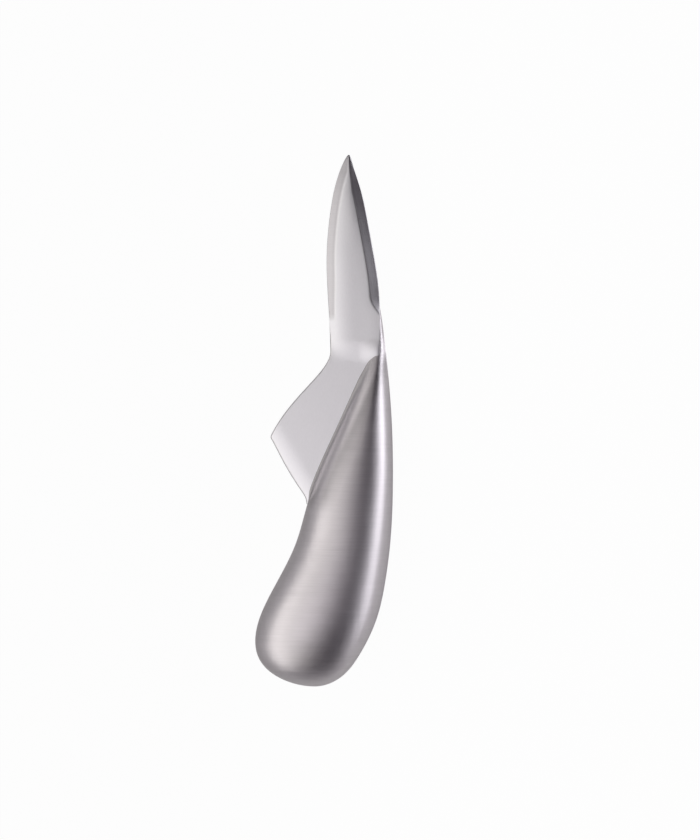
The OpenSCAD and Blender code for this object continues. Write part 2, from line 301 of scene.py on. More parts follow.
def plate_right(y):
    """The x of the spine side. It runs straight from the neck to the tang, whose end is a half
    circle: middle + sqrt(radius^2 - distance^2)."""
    middle = handle_centre(y)
    from_end = (TANG_W / 2) ** 2 - (y - TANG_END_Y) ** 2
    end = handle_centre(TANG_END_Y) + np.sqrt(np.clip(from_end, 0, None))
    straight = np.interp(y, [TANG_TOP_Y, 0], [handle_centre(TANG_TOP_Y) + TANG_W / 2, 0])
    return np.where(y > TANG_TOP_Y, straight, np.where(y > TANG_END_Y, middle + TANG_W / 2, end))


# %% [markdown]
# ## One cut across the plate
#
# On the blade a cut has a flat bevel at each side and a face that swells a little between them. On
# the wing both faces are flat and the edge is only rounded. Each corner is cut off with a short
# curve, because a forged and polished edge is never sharp, and that curve is what catches the light.

# %% Stations along the plate
# Cuts are closer together where the outline or a bevel turns: the y of each change and the counts.
# Toward the tip they crowd together by TIP_POWER, up to TIP_SHARE of the way that is left.
BELOW_AT, BELOW_N = [TANG_END_Y, -52, -29, -25, 0], [30, 52, 40, 60]
ABOVE_AT, ABOVE_N = [0, 8.5, 17.5, 50], [22, 70, 80]
TANG_TURN_FROM, TANG_TURN_N = 0.03, 24
TIP_SHARE, TIP_N, TIP_POWER, BLADE_DENSE_N = 0.94, 57, 1.6, 4001


def stations(at, counts):
    """Even steps between the places in at, so many to each stretch."""
    return np.concatenate([np.linspace(a, b, n)[1:] for a, b, n in zip(at, at[1:], counts)])


tang_cos = np.cos(np.linspace(TANG_TURN_FROM, np.pi / 2, TANG_TURN_N))
below = np.r_[TANG_END_Y - TANG_W / 2 * tang_cos, stations(BELOW_AT, BELOW_N)]
blade_s = np.linspace(0, BLADE_SPANS, BLADE_DENSE_N)
above_s = np.interp(stations(ABOVE_AT, ABOVE_N), spline(BLADE, blade_s)[:, 0], blade_s)
tip_rest = (1 - np.linspace(0, TIP_SHARE, TIP_N)[1:]) ** TIP_POWER
tip_s = BLADE_SPANS - (BLADE_SPANS - above_s[-1]) * tip_rest
blade_y, blade_c, blade_a, blade_h = spline(BLADE, np.r_[above_s, tip_s]).T
plate_y = np.r_[below, blade_y]
left = np.r_[plate_left(below), blade_c - blade_a]
right = np.r_[plate_right(below), blade_c + blade_a]
half_t = np.r_[np.full(len(below), PLATE_H), blade_h]
half_w = (right - left) / 2
print("stations:", len(plate_y), "from", plate_y[0].round(2), "to", plate_y[-1].round(2))

# %% [markdown]
# The grinder takes the edge bevel down to the heel, where it gets narrow and shallow and runs out.
# The spine bevel runs out in a quarter of a sine. Each starts at its Y and is whole a RUN above it.
# Toward the tip both have to share what width and thickness is left, so each takes at most a share.

# %% The six corners of each cut
EDGE_BEVEL_Y, EDGE_BEVEL_RUN, HEEL_TO, HEEL_SHARE = 8.9, 2.5, 24.0, 0.65
SPINE_BEVEL_Y, SPINE_BEVEL_RUN, SPINE_LEAST = 10.9, 6.0, 0.1
SPINE_W_SHARE, EDGE_T_SHARE, SPINE_T_SHARE = 0.65, 0.6, 0.7
edge_k = fade(plate_y, EDGE_BEVEL_Y, EDGE_BEVEL_Y + EDGE_BEVEL_RUN)
heel = HEEL_SHARE + (1 - HEEL_SHARE) * fade(plate_y, EDGE_BEVEL_Y, HEEL_TO)
spine_k = np.sin(np.pi / 2 * np.clip((plate_y - SPINE_BEVEL_Y) / SPINE_BEVEL_RUN, 0, 1))
bevel_w = np.minimum(EDGE_BEVEL_W * heel, half_w)
spine_w = np.minimum(SPINE_BEVEL_W * np.maximum(spine_k, SPINE_LEAST), SPINE_W_SHARE * half_w)
edge_in, spine_in = left + bevel_w, right - spine_w
edge_h = half_t + (np.minimum(EDGE_T / 2, EDGE_T_SHARE * half_t) - half_t) * edge_k * heel
spine_h = half_t + (np.minimum(SPINE_T / 2, SPINE_T_SHARE * half_t) - half_t) * spine_k
zeros = np.zeros_like(left)
corner_x = np.stack([left, left, edge_in, spine_in, right, right], 1)
corner_z = np.stack([zeros, edge_h, half_t, half_t, spine_h, zeros], 1)
corners = np.stack([corner_x, corner_z], -1)
print("widest edge bevel", bevel_w.max().round(2), "and spine bevel", spine_w.max().round(2), "mm")

# %% How far each corner is rounded
WING_ROUND, BLADE_ROUND, EDGE_LINE_ROUND, SPINE_LINE_ROUND = 0.45, 0.16, 0.7, 0.2
WING_TOP_Y = 2.0
wing_k = 1 - fade(plate_y, WING_TOP_Y, EDGE_BEVEL_Y)
edge_round = BLADE_ROUND + (WING_ROUND - BLADE_ROUND) * wing_k
rest = [np.full_like(left, r) for r in (EDGE_LINE_ROUND, SPINE_LINE_ROUND, BLADE_ROUND)]
reach = np.stack([zeros, edge_round, *rest, zeros], 1)
run_y = np.gradient(plate_y)
slant = np.abs(run_y / np.hypot(run_y, np.gradient(left)))
print("edge rounding from", edge_round.min().round(2), "to", edge_round.max().round(2), "mm")

# %% Round the corners
ARC_N, SIDE_SHARE, LAST_SHARE, SUPPORT, SUPPORT_FROM = 6, 0.45, 0.999, 0.2, 4
SIDE_N = [3, 7, 46, 9, 3]


def rounded_path(corners, reach, slant, counts):
    """Each path's corners cut off with a curve: two points, one on each side of the corner and reach
    away from it, are joined by (1-t)^2 a + 2t(1-t) corner + t^2 b. A cut meets a slanted edge
    askew, so across it the reach is divided by slant. counts says how many points each straight
    side gets, and on a long side the points next to its ends move closer to them, which keeps its
    shading flat. Returns the paths and each point's place: its side's number plus the share of that
    side that is passed."""
    step = np.diff(corners, axis=1)
    size = np.linalg.norm(step, axis=-1)
    unit = step / np.maximum(size, TINY)[..., None]
    askew = 1 + (1 / slant[:, None] - 1) * np.abs(unit[..., 0])
    cut_in = np.minimum(reach[:, 1:-1] * askew[:, :-1], SIDE_SHARE * size[:, :-1])[..., None]
    cut_out = np.minimum(reach[:, 1:-1] * askew[:, 1:], SIDE_SHARE * size[:, 1:])[..., None]
    before = corners[:, 1:-1] - unit[:, :-1] * cut_in
    after = corners[:, 1:-1] + unit[:, 1:] * cut_out
    starts = np.concatenate([corners[:, :1], after], 1)
    ends = np.concatenate([before, corners[:, -1:]], 1)
    t_arc = np.linspace(0, 1, ARC_N)[1:-1, None]
    path, place = [], []
    for side, count in enumerate(counts):
        a, b = starts[:, side, None], ends[:, side, None]
        t = np.linspace(0, 1, count)[:, None]
        if count > SUPPORT_FROM:
            t[1], t[-2] = SUPPORT * t[1], 1 - SUPPORT * t[1]
        path.append(a * (1 - t) + b * t)
        place.append(np.full((len(corners), count), side) + t[:, 0] * LAST_SHARE)
        if side < len(counts) - 1:
            corner, c = corners[:, side + 1, None], starts[:, side + 1, None]
            path.append((1 - t_arc) ** 2 * b + 2 * t_arc * (1 - t_arc) * corner + t_arc**2 * c)
            place.append(np.full((len(corners), ARC_N - 2), side + 1.0))
    return np.concatenate(path, 1), np.concatenate(place, 1)


cut, place = rounded_path(corners, reach, slant, SIDE_N)
across, height = cut[..., 0], cut[..., 1]
print("points from edge to spine:", across.shape[1])

# %% [markdown]
# From here on a point's place says where on the cut it lies: 0 to 1 is the edge's own side, 1 to 2
# the edge bevel, 2 to 3 the face, 3 to 4 the spine bevel and 4 to 5 the spine's own side.
#
# The blade's face isn't flat. From the edge bevel it rises in a cubic curve, which is the round
# shoulder that shows as the soft bright line, and toward the tip it falls again behind it. Below
# the heel, where there is no bevel, the slope goes on down to the edge. Points low on the cut's
# sides stay in place. FROM and TO are the y between which a form fades in, and RUN is its width.

# %% Swell the blade's face
SWELL_FROM, SWELL_TO, SWELL_SLOPE, SWELL_RUN, FACE_LEAST = -4.0, 3.0, 0.165, 7.0, 0.05
DOME_FROM, DOME_TO, DOME_FALL, DOME_RUN, DOME_SHARE = 28.0, 46.0, 0.7, 4.3, 0.62
SPINE_FALL, SPINE_FALL_RUN = 0.04, 3.0
EDGE_SIDE, SPINE_SIDE = (0, 0.9), (4.4, 5.0)
swell_k = fade(plate_y, SWELL_FROM, SWELL_TO)
neck_x = np.where(plate_y > 0, left, np.maximum(left, -BLADE_W))
swell_left = neck_x + bevel_w
face_w = np.maximum(spine_in - swell_left, FACE_LEAST)
swell_run = np.minimum(SWELL_RUN, face_w)[:, None]
dome_run = np.minimum(DOME_RUN, DOME_SHARE * face_w)[:, None]
passed = across - swell_left[:, None]
rise = swell_run / 3 * (1 - np.clip(1 - passed / swell_run, 0, 1) ** 3)
beyond = np.clip(passed / dome_run - 1, 0, None) * fade(plate_y, DOME_FROM, DOME_TO)[:, None]
dome = rise - DOME_FALL * dome_run / 2 * beyond**2
near_top = np.clip(height / np.maximum(half_t, TINY)[:, None], 0, 1) ** 2
before_face = np.clip(swell_left[:, None] - np.maximum(across, neck_x[:, None]), 0, None)
draft = before_face * (1 - edge_k[:, None]) * fade(place, *EDGE_SIDE)
height = height + SWELL_SLOPE * swell_k[:, None] * (dome * near_top - draft)
toward_spine = np.clip(1 - (spine_in[:, None] - across) / SPINE_FALL_RUN, 0, 1)
fall = (SPINE_FALL * swell_k * half_t / PLATE_H)[:, None]
height = height - fall * toward_spine**2 * (place > 1)
print("the face rises to", (2 * height.max()).round(2), "mm of thickness")

# %% [markdown]
# ## Three soft forms on the plate
#
# The wing isn't dead flat: polishing has drawn its lower border down a little. At the neck the
# plate rises in a soft fillet to meet the handle's nose, and the spine bevel is a hair round. These
# are tilts of a few degrees, but on bright metal a tilt shows at once, so they belong in the mesh
# and not in the material.

# %% Draw the wing's border down and raise the fillet at the nose
FALL, FALL_REACH, FALL_FROM, FALL_TO = 0.32, 5.0, -14.0, -4.0
# The fillet is RAMP high at RAMP_X, RAMP_Y, and loses a share RAMP_FALL of that up to RAMP_END_X.
RAMP, RAMP_X, RAMP_Y, RAMP_FALL, RAMP_END_X = 0.29, -0.9, -1.3, 0.45, 0.3
RAMP_WIDE, RAMP_BELOW, RAMP_ABOVE = 6.0, 3.2, 5.0
BULGE = 0.02
lower = (guard_foot - guard_corner) / np.linalg.norm(guard_foot - guard_corner)
from_x, from_y = across - guard_corner[0], plate_y[:, None] - guard_corner[1]
border = np.clip(1 - (from_y * lower[0] - from_x * lower[1]) / FALL_REACH, 0, 1) ** 2
on_wing = (1 - fade(plate_y, FALL_FROM, FALL_TO))[:, None]
toward_nose = fade(across, RAMP_X - RAMP_WIDE, RAMP_X)
past_nose = 1 - RAMP_FALL * fade(across, RAMP_X, RAMP_END_X)
ramp_x = np.where(across < RAMP_X, toward_nose, past_nose)
ramp_up = fade(plate_y, RAMP_Y - RAMP_BELOW, RAMP_Y)
ramp_y = ramp_up * (1 - fade(plate_y, RAMP_Y, RAMP_Y + RAMP_ABOVE))
on_face = fade(place, *EDGE_SIDE) * (1 - fade(place, *SPINE_SIDE))
height = height + (RAMP * ramp_x * ramp_y[:, None] - FALL * border * on_wing) * on_face
t_bevel = np.clip(place - 3, 0, 1)
height = height + BULGE * 4 * t_bevel * (1 - t_bevel) * spine_k[:, None]
print("fillet at the nose", RAMP, "mm up, wing's border", FALL, "mm down")

# %% [markdown]
# ## Marks for the finish
#
# A mark is a number that each point carries for the material. One says how far a point is from the
# outline, where use has polished the steel, one where the bevels are, which are ground across, and
# one how much painted shade the steel gets: it is darker on the bevels, along the spine bevel's
# inner line and on the wing's rounded outline.

# %% The plate's marks and its mesh
# How dark each mark of painted shade is, then the distances, y or places over which it fades.
EDGE_SHADE, SPINE_SHADE, RUNOUT_SHADE, LINE_SHADE, OUTLINE_SHADE = 1.15, 1.1, 0.4, 0.4, 1.3
EDGE_MARK_MM, OUTLINE_MM, RUNOUT_Y = (-0.35, 0.75), (0.15, 0.5), (12, 25)
SPINE_PLACE, SPINE_LINE = (2.95, 3.05), (3.05, 3.3)


def both_faces(top_values):
    """Values round the whole cut: the top's from edge to spine, and the same ones back below it."""
    return with_ends(np.concatenate([top_values, top_values[:, -2:0:-1]], 1))


edge_mm = np.minimum((across - left[:, None]) * slant[:, None], right[:, None] - across)
on_edge_bevel = (1 - fade(across - edge_in[:, None], *EDGE_MARK_MM)) * edge_k[:, None]
on_spine_bevel = fade(place, *SPINE_PLACE) * spine_k[:, None]
outline = (1 - fade(edge_mm, *OUTLINE_MM)) * wing_k[:, None]
runout = RUNOUT_SHADE * (1 - fade(plate_y, *RUNOUT_Y))[:, None]
line = LINE_SHADE * (1 - fade(place, *SPINE_LINE))
spine_shade = (SPINE_SHADE + runout + line) * on_spine_bevel**0.5
# dark is painted shade and dimmer reflection: the edge bevel, the spine bevel with its inner line
# and the wing's rounded outline are made darker.
plate_marks = {
    "edge_mm": both_faces(edge_mm),
    "bevel": both_faces(np.maximum(on_edge_bevel, on_spine_bevel)),
    "dark": both_faces(EDGE_SHADE * on_edge_bevel + spine_shade + OUTLINE_SHADE * outline),
}
top = np.stack([across, np.broadcast_to(plate_y[:, None], across.shape), height], -1)
bottom = (top * [1, 1, -1])[:, -2:0:-1]
plate_rings = with_ends(np.concatenate([top, bottom], 1))
forged_plate = make_piece("forged_plate", [plate_rings], "blade", plate_marks)

# %% [markdown]
# ## The handle's two half shells
#
# A press makes the handle as two bowls of sheet steel. A point of the outside is found from s,
# which counts the templates passed since the nose, and an angle round the cut, which is an ellipse.
# On its spine side the nose is ground to a slope, so there the ellipse gives way to a hollower
# curve. The inside is the same point moved inwards by the wall. Where the plate comes out, the rim
# rests on its face. Elsewhere it leaves room for half of the closing weld.

# %% A point of the handle's surface
# The nose is fully ground up to the first span and an ellipse again from the second.
NOSE_GROUND, NOSE_ROUND, NOSE_POWER, STEP = 2.2, 6.4, 1.4, 0.01


def power(s):
    """The power that the sine is raised to on the spine side: 1 behind the nose, where the cut is
    an ellipse, and 1 + NOSE_POWER on the ground nose. A power of 2 would make a parabola, and
    above that the slope runs out flat at its foot."""
    return 1 + NOSE_POWER * fade(s, NOSE_ROUND, NOSE_GROUND)


def surface(s, angle):
    """The point at centre + half width * cos(angle) across and half thickness * sin(angle) up,
    with the sine raised to the power on the spine side."""
    y, c, a, h = np.moveaxis(spline(HANDLE, s), -1, 0)
    sine = np.sin(angle)
    up = h * np.sign(sine) * np.abs(sine) ** np.where(np.cos(angle) > 0, power(s), 1)
    return np.stack(np.broadcast_arrays(c + a * np.cos(angle), y, up), -1)


def inset(s, angle, depth):
    """The same point moved inwards by depth, against the cross product of a short step round the
    cut and a short step along the handle."""
    along = surface(s + STEP, angle) - surface(s - STEP, angle)
    turn = surface(s, angle + STEP) - surface(s, angle - STEP)
    normal = np.cross(turn, along)
    size = np.maximum(np.linalg.norm(normal, axis=-1, keepdims=True), TINY)
    return surface(s, angle) - np.asarray(depth)[..., None] * normal / size


# %% Where the rims run
SEAM_FROM = 3.0  # the span behind the nose where the closing weld starts
rim_h = PLATE_H + PLATE_GAP
thickest = line_h.argmax()
s_over = np.interp(rim_h, line_h[:thickest], dense[:thickest])
wing_inside = (plate_left(line_y) > line_c - line_a + PLATE_GAP) & (line_y < guard_corner[1])
s_guard = dense[np.argmax(wing_inside)]


def last_s(z):
    """Where the handle is 2z thick on its way round the butt."""
    return np.interp(z, line_h[thickest:][::-1], dense[thickest:][::-1])


print("the rim is over the plate from span", s_over.round(3), "to", s_guard.round(3))

# %% Stations along the handle
N_STATIONS, N_TURN = 250, 85
line_step = np.sqrt((np.diff([line_y, line_c, line_a, line_h], axis=1) ** 2).sum(0))
length = np.r_[0, np.cumsum(line_step)]
end_length = np.interp(last_s(SEAM_W / 2), dense, length)
even = np.interp(np.linspace(0, end_length, N_STATIONS), length, dense)
changes = np.array([s_over, SEAM_FROM, s_guard])
shell_s = np.sort(np.r_[even, changes, changes])
after_change = np.arange(len(shell_s)) > np.searchsorted(shell_s, changes)[:, None]
over, welded, past_guard = after_change[..., None]
print("rings:", len(shell_s), "over", end_length.round(1), "mm of the middle line")

# %% [markdown]
# Each place where the rim changes has two rings, one with the rim before the change and one with
# the rim after it, so the step between them stands square. over, welded and past_guard say for each
# ring whether it lies after the start of the plate's cover, of the closing weld and of the guard.

# %% The rims and the inside of a half shell
HOLLOW_FROM, HOLLOW_RUN, LEAST_W = 3.2, 1.3, 0.02
grid = np.linspace(0, np.pi, N_TURN)


def rim_pair(s, angle, edge, groove, low):
    """A rim's upper and lower point. Where there is a groove for the weld the upper point is moved
    inwards by the weld's depth, and the lower one stands below it."""
    upper = np.where(groove[..., None], inset(s, angle, np.full(s.shape, SEAM_DEPTH)), edge)
    upper[..., 2] = edge[..., 2]
    under = upper.copy()
    under[..., 2] = np.minimum(low, edge[..., 2])
    return np.concatenate([upper, under], 1)


def inside_points(s, floor_left, left_x, right_x):
    """The inside of each ring, from the edge's rim back to the spine's. Where the nose is solid it
    is a flat floor that rests on the plate, with a step down beside it. Behind that it rises to an
    arch, which is the outside moved inwards by the wall."""
    turn = np.broadcast_to(grid[::-1], (len(s), N_TURN))
    arch = inset(s, turn, np.full(turn.shape, SHELL_WALL))
    arch[..., 2] = np.maximum(arch[..., 2], np.where(turn > np.pi / 2, floor_left, 0))
    most_x = np.maximum(right_x - LEAST_W, left_x + LEAST_W)
    arch[..., 0] = np.clip(arch[..., 0], left_x + LEAST_W, most_x)
    y = spline(HANDLE, s)[..., 0]
    step_x = np.clip(np.maximum(plate_right(y) + PLATE_GAP, PLATE_GAP * ~over), left_x, right_x)
    half = (N_TURN + 1) // 2
    floor_x = left_x + (step_x - left_x) * np.linspace(0, 1, half)
    beside_x = step_x + (right_x - step_x) * np.linspace(0, 1, N_TURN - half)
    flat = np.empty_like(arch)
    flat[..., 0] = np.concatenate([floor_x, beside_x], 1)
    flat[..., 1] = y
    flat[..., 2] = np.where(np.arange(N_TURN) < half, floor_left, 0)
    hollow = fade(s, HOLLOW_FROM, HOLLOW_FROM + HOLLOW_RUN)[..., None]
    return flat + hollow * (arch - flat)


print("the nose is solid up to span", HOLLOW_FROM, "and hollow from", HOLLOW_FROM + HOLLOW_RUN)

# %% [markdown]
# In the corner beside the guard two darker lines run along the steel, painted there as shade. A mark
# holds how much painted shade the steel gets at a few distances from the rim, and it fades out where
# the wing ends.

# %% The front shell
# Painted shade in the corner beside the guard: how dark the steel is at these distances from the
# rim, and the y over which it fades out.
NOOK_MM, NOOK_SHADE = [0, 1.5, 2.8, 4.3, 5.2, 8.5], [0.25, 0.12, 0.02, 0.24, 0.22, 0]
NOOK_START, NOOK_END = -44.0, -52.0


def half_shell_rings(s):
    """Round each ring: the outside from the spine's rim over the top to the edge's rim, the step in
    that rim, the inside back, and the step on the spine side. Also the painted shade of each point."""
    s = s[:, None]
    y, c, a, h = np.moveaxis(spline(HANDLE, s), -1, 0)
    wide, tall = np.maximum(a, TINY), np.maximum(h, TINY)
    z_right = np.where(welded, SEAM_W / 2, 0)
    z_left = np.where(past_guard, SEAM_W / 2, rim_h)
    floor_left = np.where(over & ~past_guard, rim_h, 0)
    start = np.arcsin(np.clip(z_right / tall, 0, 1) ** (1 / power(s)))
    beside = np.arccos(np.clip((PLATE_GAP - c) / wide, -1, 1))
    stop = np.where(over, np.pi - np.arcsin(np.clip(z_left / tall, 0, 1)), beside)
    outer = surface(s, np.clip(grid, start, np.maximum(start, stop)))
    edge_rim = rim_pair(s, stop, outer[:, -1:], past_guard, floor_left)
    spine_rim = rim_pair(s, start, outer[:, :1], welded, 0)
    inner = inside_points(s, floor_left, edge_rim[:, 1:, 0], spine_rim[:, 1:, 0])
    rings = np.concatenate([outer, edge_rim, inner, spine_rim[:, ::-1]], 1)
    # Painted shade, darkest next to the rim beside the guard.
    darkness = np.interp(outer[..., 0] - outer[:, -1:, 0], NOOK_MM, NOOK_SHADE)
    nook_shade = np.zeros(rings.shape[:2])
    nook_shade[:, :N_TURN] = darkness * over * fade(outer[..., 1], NOOK_END, NOOK_START)
    return with_ends(rings), with_ends(nook_shade)


shell_rings, nook_shade = half_shell_rings(shell_s)
front_marks = {"dark": nook_shade}
handle_front = make_piece(
    "handle_front", [shell_rings], "handle_shell_front", front_marks
)

# %% [markdown]
# ## The filling hole and its plug
#
# The back shell has a round hole near the butt, where dry sand went in to give the handle weight. A
# drill makes the hole square to the plate, so its wall stands straight up. Here a block of faces is
# left out of both skins of the shell, and a stack of rings runs from the block's border to a circle
# on the outside, through the wall, and out to the border on the inside.

# %% Heights of the outer and the inner skin
HOLE_BLOCK, HOLE_N, CHAMFER, AIMS = 4.2, 7, 0.14, 6
plug_y = NOSE_Y - HANDLE_LEN + PLUG_RISE
plug_at = np.array([handle_centre(plug_y), plug_y])


def surface_place(xy):
    """s and the angle of the surface's point above x, y: the angle whose cosine is the distance
    from the centre over the half width."""
    s = np.interp(-xy[..., 1], -line_y, dense)
    y, c, a, h = np.moveaxis(spline(HANDLE, s), -1, 0)
    return s, np.arccos(np.clip((xy[..., 0] - c) / a, -1, 1))


def outer_skin(xy, lower=0.0):
    """Points on the outside above x, y, or lower than it."""
    return np.dstack([xy, surface(*surface_place(xy))[..., 2] - lower])


def inner_skin(xy):
    """Points on the inside above x, y. The inside is the outside moved along its normal, so the aim
    is corrected by the miss a few times."""
    aim = xy.copy()
    for _ in range(AIMS):
        s, angle = surface_place(aim)
        hit = inset(s, angle, np.full(s.shape, SHELL_WALL))
        aim = aim + xy - hit[..., :2]
    return np.dstack([xy, hit[..., 2]])


print("plug at x, y", plug_at.round(2), "mm")

# %% The back shell with its hole
# The block has the rings i0 to i1 and the points j0 to j1 of each, and the loops go once round it.
# The inside runs back, so the point under j is number 2 * N_TURN + 1 - j.
near_plug = np.abs(shell_rings[:, :N_TURN, :2] - plug_at) < HOLE_BLOCK
i0, i1 = np.flatnonzero(near_plug[:, N_TURN // 2, 1])[[0, -1]]
j0, j1 = np.flatnonzero(near_plug[i0, :, 0])[[0, -1]]
down_i, along_j = np.arange(i0, i1), np.arange(j0, j1)
loop_i = np.r_[np.full(j1 - j0, i0), down_i, np.full(j1 - j0, i1), down_i[::-1] + 1]
loop_j = np.r_[along_j, np.full(i1 - i0, j1), along_j[::-1] + 1, np.full(i1 - i0, j0)]
outer_loop = shell_rings[loop_i, loop_j]
inner_loop = shell_rings[loop_i, 2 * N_TURN + 1 - loop_j]
spoke = outer_loop[:, :2] - plug_at
spoke /= np.linalg.norm(spoke, axis=1, keepdims=True)
hole_r = PLUG_D / 2 + PLUG_GAP
wide_circle, circle = plug_at + (hole_r + CHAMFER) * spoke, plug_at + hole_r * spoke
t = np.linspace(0, 1, HOLE_N)[:, None, None]
hole_rings = np.concatenate([
    outer_loop[None],
    outer_skin(outer_loop[:, :2] * (1 - t[1:]) + wide_circle * t[1:]),
    outer_skin(circle[None], CHAMFER),
    inner_skin(circle * (1 - t[:-1]) + inner_loop[:, :2] * t[:-1]),
    inner_loop[None],
])
block_i, block_j = np.meshgrid(down_i, along_j, indexing="ij")
row = block_i * shell_rings.shape[1]
opening = np.r_[(row + block_j).ravel(), (row + 2 * N_TURN - block_j).ravel()]
back_stacks = [shell_rings * [1, 1, -1], hole_rings * [1, 1, -1]]
# The back shell gets the same painted shade, and none round the hole.
back_marks = {"dark": np.r_[nook_shade.ravel(), np.zeros(hole_rings[..., 0].size)]}
handle_back = make_piece(
    "handle_back", back_stacks, "handle_shell_back", back_marks, opening
)

# %% The plug
PLUG_DEEP, PLUG_POINTS, PLUG_RINGS, PLUG_FROM = 1.97, 72, 9, 0.02
around = np.linspace(0, 2 * np.pi, PLUG_POINTS, endpoint=False)
rim = PLUG_D / 2 * np.stack([np.cos(around), np.sin(around)], -1)
share = np.linspace(PLUG_FROM, 1 - 2 * CHAMFER / PLUG_D, PLUG_RINGS)[:, None, None]
plug_face = outer_skin(plug_at + share * rim)
plug_side = outer_skin(plug_at + rim[None], CHAMFER)
foot_z = np.full((1, PLUG_POINTS), plug_face[..., 2].max() - PLUG_DEEP)
plug_foot = np.dstack([plug_at + rim[None], foot_z])
plug_rings = with_ends(np.concatenate([plug_face, plug_side, plug_foot]))
plug = make_piece("plug", [plug_rings * [1, 1, -1]], "filling_plug")

# %% [markdown]
# ## The welds
#
# The closing weld runs in the groove between the two rims, from the nose down the spine side, round
# the butt and up to the guard. It is ground flush, so its outside is the handle's own surface. Its
# place is found at each height z, where the outline is centre plus or minus a share of the half
# width. On an ellipse the share is the root of 1 - (z / half thickness)^2, and on the ground nose
# the same sum has the power in it.

# %% The closing weld
WELD_N, WELD_LEVELS = 260, 9
z_level = SEAM_W / 2 * np.linspace(-1, 1, WELD_LEVELS)
u = np.linspace(0, 1, WELD_N)[:, None]
stop_s = last_s(np.abs(z_level))
down = stop_s - (stop_s - SEAM_FROM) * (1 - u) ** 2
back_up = stop_s - (stop_s - s_guard) * u[1:] ** 2


def weld_outside(s, sign, sine_power):
    """Points at every level on one side of the handle. sign is 1 for the spine and -1 for the edge,
    and sine_power is the power of the sine there."""
    y, c, a, h = np.moveaxis(spline(HANDLE, s), -1, 0)
    up = np.abs(z_level / np.maximum(h, TINY)) ** (2 / sine_power)
    share = np.sqrt(np.clip(1 - up, 0, 1))
    return np.stack([c + sign * a * share, y, np.broadcast_to(z_level, y.shape)], -1)


weld_out = np.concatenate([weld_outside(down, 1, power(down)), weld_outside(back_up, -1, 1)])
run = np.gradient(weld_out, axis=0)
inward = np.stack([run[..., 1], -run[..., 0], np.zeros(run.shape[:2])], -1)
inward /= np.linalg.norm(inward, axis=-1, keepdims=True)
weld_in = (weld_out + SEAM_DEPTH * inward)[:, ::-1]
weld_rings = with_ends(np.concatenate([weld_out, weld_in], 1))
closing_weld = make_piece("closing_weld", [weld_rings], "seam_weld")

# %% [markdown]
# A fillet weld joins each shell to the plate along the diagonal. A cut of it is a small hollow
# triangle: its toe lies on the plate, its top on the shell, and a curve between them touches both.

# %% The fillet welds on the plate
# The fillet tapers to END_SHARE over its last spans, and its leg is at most a share of the height.
HOLLOW, FILLET_END, END_SHARE, LEG_SHARE, TOE_SHADE = 0.22, 0.45, 0.04, 0.45, 0.3
FILLET_AFTER, FILLET_BEFORE, FILLET_N, FACE_N = 0.02, 0.03, 150, 9


def fillet_rings(s):
    """(1-t)^2 toe + 2t(1-t) hollow + t^2 top for the face, then the foot. The hollow point lies
    near the foot, so the face is a little concave, as a weld's is."""
    y, c, a, h = spline(HANDLE, s).T
    tapered = END_SHARE + (1 - END_SHARE) * fade(s, s_guard, s_guard - FILLET_END)
    leg = np.minimum(FILLET_LEG, LEG_SHARE * (h - PLATE_H)) * tapered
    foot = np.stack([c - a * np.sqrt(1 - (PLATE_H / h) ** 2), y, np.full_like(y, PLATE_H)], -1)
    toe = foot - np.stack([leg, 0 * leg, 0 * leg], -1)
    head = np.stack([c - a * np.sqrt(1 - ((PLATE_H + leg) / h) ** 2), y, PLATE_H + leg], -1)
    hollow = foot + HOLLOW * leg[:, None] * [-1, 0, 1]
    t = np.linspace(0, 1, FACE_N)[None, :, None]
    curve = (1 - t) ** 2 * toe[:, None] + 2 * t * (1 - t) * hollow[:, None] + t**2 * head[:, None]
    return np.concatenate([curve, foot[:, None]], 1)


fillet = fillet_rings(np.linspace(s_over + FILLET_AFTER, s_guard - FILLET_BEFORE, FILLET_N))
# Painted shade at the fillet's toe, in the crease against the plate.
toe_shade = TOE_SHADE * np.r_[np.linspace(1, 0, FACE_N) ** 2, 0]
marks = {"dark": with_ends(np.broadcast_to(toe_shade, fillet.shape[:2]))}
front, back = [with_ends(fillet)], [with_ends(fillet * [1, 1, -1])]
fillet_front = make_piece("fillet_weld_front", front, "guard_weld_front", marks)
fillet_back = make_piece("fillet_weld_back", back, "guard_weld_back", marks)

# %% [markdown]
# ## Shader maths as Python
#
# A material is a graph of nodes. Writing it as sums and products keeps it readable: the class below
# wraps one output of a node, and each operator adds the Math node that does the same.


